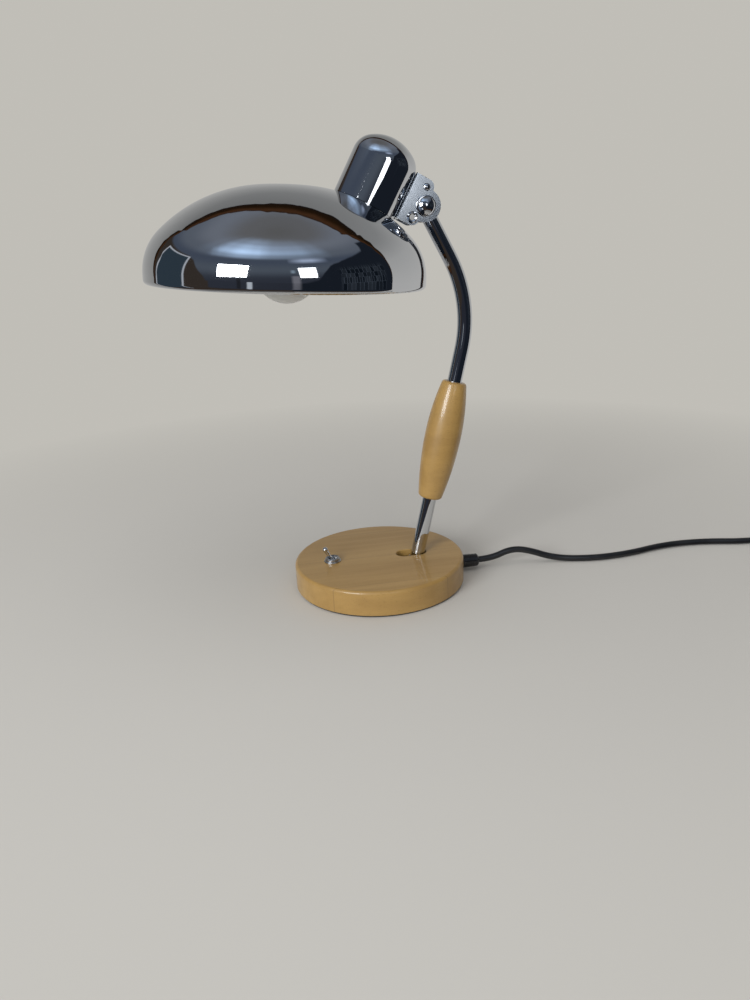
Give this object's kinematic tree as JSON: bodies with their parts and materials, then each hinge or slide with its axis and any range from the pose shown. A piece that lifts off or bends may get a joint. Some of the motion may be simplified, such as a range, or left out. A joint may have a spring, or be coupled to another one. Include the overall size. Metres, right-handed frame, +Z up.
{
  "type": "desk lamp",
  "caption": "Desk lamp with a domed metal shade and round cap on a tilting knuckle, a bent tube arm with a turned wooden grip, a round wooden base with a toggle switch, and a cord with plug.",
  "frame": {"origin": "centre of the base's underside, where the lamp stands", "axes": "+Z up; the XZ plane is the plane the arm and head tilt in, with the shade towards -X and the cord leaving the base towards +X; +Y is across the lamp"},
  "size_m": [0.6755, 0.2773, 0.4158],
  "materials": {
    "wood_varnished": "clear gloss varnish on beech",
    "cast_iron": "raw casting",
    "steel_plate": "zinc plated",
    "steel_small": "zinc plated",
    "felt": "wool felt",
    "plastic_black": "moulded, satin",
    "plastic_white": "moulded, satin",
    "chrome": "polished chrome plate",
    "chrome_small": "polished chrome plate",
    "brass": "bare, turned",
    "cord_black": "smooth sheath",
    "bulb_glass": "frosted",
    "bulb_cap": "rolled thread"
  },
  "bodies": {
    "base": {"base_disc": "wood_varnished", "ballast_weight": "cast_iron", "bottom_plate": "steel_plate", "felt_pad": "felt", "plate_screws": "steel_small", "weight_screws": "steel_small", "pivot_bracket": "steel_plate", "pivot_bracket_screws": "steel_small", "pivot_bolt": "steel_small", "pivot_nut": "steel_small", "pivot_washers": "steel_small", "switch_body": "plastic_black", "switch_bushing": "chrome_small", "switch_plate": "chrome_small", "switch_nut": "chrome_small", "switch_terminals": "brass", "cord_gland": "plastic_black", "gland_nut": "plastic_black", "inner_cord": "cord_black", "cord_clamp_block": "plastic_black", "cord_clamp_saddle": "plastic_black", "cord_clamp_screws": "steel_small", "terminal_block": "plastic_white", "base_leads": "cord_black", "mains_cord": "cord_black", "cord_coil": "cord_black", "cord_tail": "cord_black", "plug_body": "plastic_black", "plug_pins": "brass", "plug_clips": "brass"},
    "toggle": {"toggle_lever": "chrome_small"},
    "arm": {"arm_tube": "chrome", "arm_wire": "cord_black", "arm_foot": "steel_plate", "grip": "wood_varnished", "knuckle_eye": "chrome"},
    "head": {"shade": "chrome", "cap": "chrome", "cap_ring": "chrome", "cap_screws": "chrome_small", "knuckle_bracket": "chrome", "knuckle_screw": "chrome_small", "knuckle_nut": "chrome_small", "knuckle_ring_near": "chrome_small", "knuckle_ring_far": "chrome_small", "knuckle_discs": "plastic_white", "bracket_rivet": "chrome_small", "bracket_eyelet": "chrome_small", "nipple": "steel_small", "nipple_nuts": "steel_small", "holder_bracket": "steel_plate", "lampholder": "plastic_black", "holder_contact": "brass", "bulb_glass": "bulb_glass", "bulb_cap": "bulb_cap", "bulb_contact": "bulb_cap"}
  },
  "joints": [
    {"name": "arm_tilt", "type": "hinge", "parent": "base", "child": "arm", "pos_m": [0.03706, 0, 0.012], "axis": [0, -1, 0], "range_deg": [0, 36]},
    {"name": "head_tilt", "type": "hinge", "parent": "arm", "child": "head", "pos_m": [0.05541, 0, 0.35625], "axis": [0, 1, 0], "range_deg": [-20, 60]},
    {"name": "switch_toggle", "type": "hinge", "parent": "base", "child": "toggle", "pos_m": [-0.0475, 0, 0.0254], "axis": [0, 1, 0], "range_deg": [0, 52]}
  ]
}
